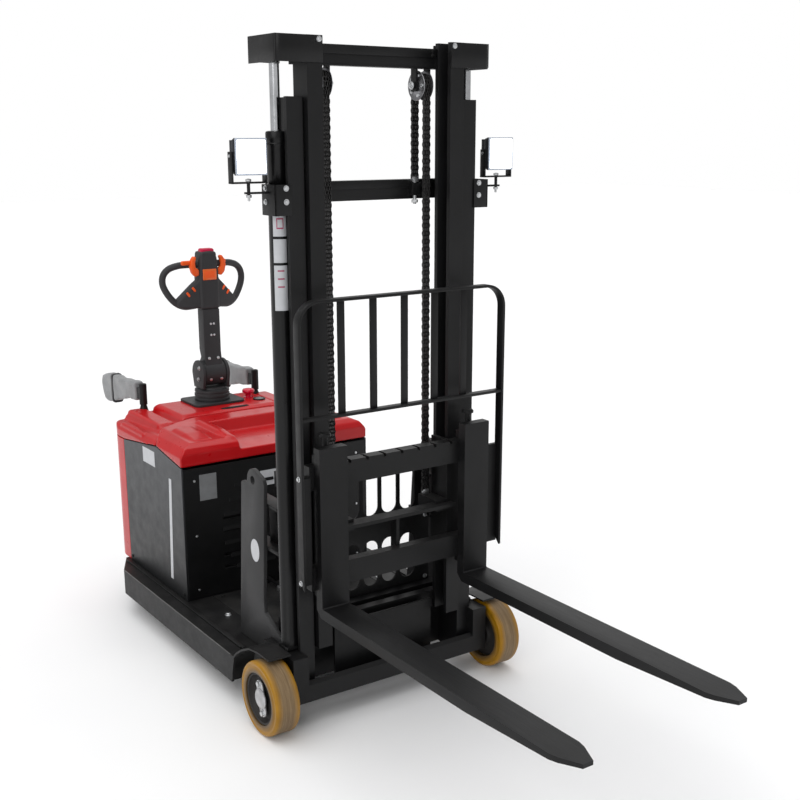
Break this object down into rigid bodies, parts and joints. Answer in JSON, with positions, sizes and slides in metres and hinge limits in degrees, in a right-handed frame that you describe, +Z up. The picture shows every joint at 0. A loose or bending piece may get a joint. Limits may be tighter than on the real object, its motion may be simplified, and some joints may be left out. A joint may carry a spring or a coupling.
{
  "type": "electric stacker forklift",
  "caption": "Walk-behind electric stacker with a telescopic chain-lift mast, forks on a carriage with a load backrest, a counterweighted body, tiller and steered drive wheel.",
  "frame": {"origin": "on the floor, under the middle of the whole machine", "axes": "+X forward towards the fork tips, +Y to the machine's left, +Z up"},
  "size_m": [3.127, 1.042, 2.16],
  "materials": {
    "red_gloss": "gloss",
    "emergency_red": "gloss",
    "black_frame": "satin",
    "panel_grey": "satin",
    "tyre_amber": "satin",
    "hub_black": "satin",
    "cylinder_black": "satin",
    "rod_chrome": "mirror",
    "sheave_steel": "satin",
    "chain_steel": "satin",
    "lamp_body": "satin",
    "tiller_black": "satin",
    "pad_grey": "matte",
    "battery_grey": "matte"
  },
  "bodies": {
    "chassis": {"arm_post_left": "black_frame", "arm_post_right": "black_frame", "battery_block": "battery_grey", "charge_gauge": "tiller_black", "chassis_frame": "black_frame", "console": "red_gloss", "corner_trim_left": "red_gloss", "corner_trim_right": "red_gloss", "deck_plate": "black_frame", "emergency_stop": "emergency_red", "front_panel": "black_frame", "guard_plate": "black_frame", "lift_cylinder_left": "cylinder_black", "lift_cylinder_right": "cylinder_black", "light_bracket_left": "black_frame", "light_bracket_right": "black_frame", "outer_mast": "black_frame", "rear_panel": "black_frame", "side_panel_left": "panel_grey", "side_panel_right": "panel_grey", "stay_left": "black_frame", "stay_right": "black_frame", "tiller_plinth": "tiller_black", "work_light_left": "lamp_body", "work_light_right": "lamp_body"},
    "wheel_left": {"tyre_left": "tyre_amber", "hub_left": "hub_black"},
    "wheel_right": {"tyre_right": "tyre_amber", "hub_right": "hub_black"},
    "drive_unit": {"drive_yoke": "black_frame", "drive_motor": "black_frame"},
    "drive_wheel": {"drive_tyre": "tyre_amber", "drive_hub": "hub_black"},
    "tiller_turntable": {"tiller_base": "tiller_black"},
    "tiller": {"tiller_arm": "tiller_black", "tiller_head": "tiller_black", "grip_left": "tiller_black", "grip_right": "tiller_black"},
    "mast_inner": {"inner_mast": "black_frame", "lift_rod_left": "rod_chrome", "lift_rod_right": "rod_chrome", "chain_front_left": "chain_steel", "chain_front_right": "chain_steel", "chain_rear_left": "chain_steel", "chain_rear_right": "chain_steel"},
    "chain_sheave_left": {"sheave_left": "sheave_steel"},
    "chain_sheave_right": {"sheave_right": "sheave_steel"},
    "fork_carriage": {"carriage": "black_frame", "backrest": "black_frame", "fork_left": "black_frame", "fork_right": "black_frame"},
    "lid": {"battery_lid": "red_gloss"},
    "guard_arm_left": {"arm_sleeve_left": "black_frame", "arm_pad_left": "pad_grey"},
    "guard_arm_right": {"arm_sleeve_right": "black_frame", "arm_pad_right": "pad_grey"},
    "step": {"platform": "black_frame"}
  },
  "joints": [
    {"name": "wheel_left_spin", "type": "hinge", "parent": "chassis", "child": "wheel_left", "pos_m": [0.2815, 0.452, 0.125], "axis": [0, 1, 0], "continuous": true},
    {"name": "wheel_right_spin", "type": "hinge", "parent": "chassis", "child": "wheel_right", "pos_m": [0.2815, -0.452, 0.125], "axis": [0, 1, 0], "continuous": true},
    {"name": "tiller_turn", "type": "hinge", "parent": "chassis", "child": "tiller_turntable", "pos_m": [-1.0285, 0, 0.84], "axis": [0, 0, 1], "range_deg": [-80, 80]},
    {"name": "tiller_tilt", "type": "hinge", "parent": "tiller_turntable", "child": "tiller", "pos_m": [-1.0285, 0, 0.922], "axis": [0, -1, 0], "range_deg": [0, 75], "stiffness_Nm_per_rad": 40, "springref_deg": -17.19},
    {"name": "drive_steer", "type": "hinge", "parent": "chassis", "child": "drive_unit", "pos_m": [-1.0285, 0, 0.37], "axis": [0, 0, 1], "range_deg": [-80, 80]},
    {"name": "drive_spin", "type": "hinge", "parent": "drive_unit", "child": "drive_wheel", "pos_m": [-1.0285, 0, 0.125], "axis": [0, 1, 0], "continuous": true},
    {"name": "mast_lift", "type": "slide", "parent": "chassis", "child": "mast_inner", "axis": [0, 0, 1], "range_m": [-0.155, 1.28], "deforming": ["chain_rear_left", "chain_rear_right"]},
    {"name": "carriage_lift", "type": "slide", "parent": "mast_inner", "child": "fork_carriage", "axis": [0, 0, 1], "range_m": [-0.155, 1.28], "deforming": ["chain_front_left", "chain_front_right"]},
    {"name": "sheave_left_spin", "type": "hinge", "parent": "mast_inner", "child": "chain_sheave_left", "pos_m": [0.2155, 0.185, 2.032], "axis": [0, 1, 0], "continuous": true},
    {"name": "sheave_right_spin", "type": "hinge", "parent": "mast_inner", "child": "chain_sheave_right", "pos_m": [0.2155, -0.185, 2.032], "axis": [0, 1, 0], "continuous": true},
    {"name": "battery_lid_hinge", "type": "hinge", "parent": "chassis", "child": "lid", "pos_m": [-0.8435, 0, 0.787], "axis": [0, -1, 0], "range_deg": [0, 70]},
    {"name": "guard_arm_left_swing", "type": "hinge", "parent": "chassis", "child": "guard_arm_left", "pos_m": [-1.1415, 0.259, 0.82], "axis": [0, 0, -1], "range_deg": [0, 90]},
    {"name": "guard_arm_right_swing", "type": "hinge", "parent": "chassis", "child": "guard_arm_right", "pos_m": [-1.1415, -0.259, 0.82], "axis": [0, 0, 1], "range_deg": [0, 90]},
    {"name": "platform_fold", "type": "hinge", "parent": "chassis", "child": "step", "pos_m": [-1.2145, 0, 0.2], "axis": [0, -1, 0], "range_deg": [0, 90]}
  ],
  "couplings": [
    {"joint": "drive_steer", "follows": "tiller_turn", "ratio": 1},
    {"joint": "carriage_lift", "follows": "mast_lift", "ratio": 1}
  ]
}
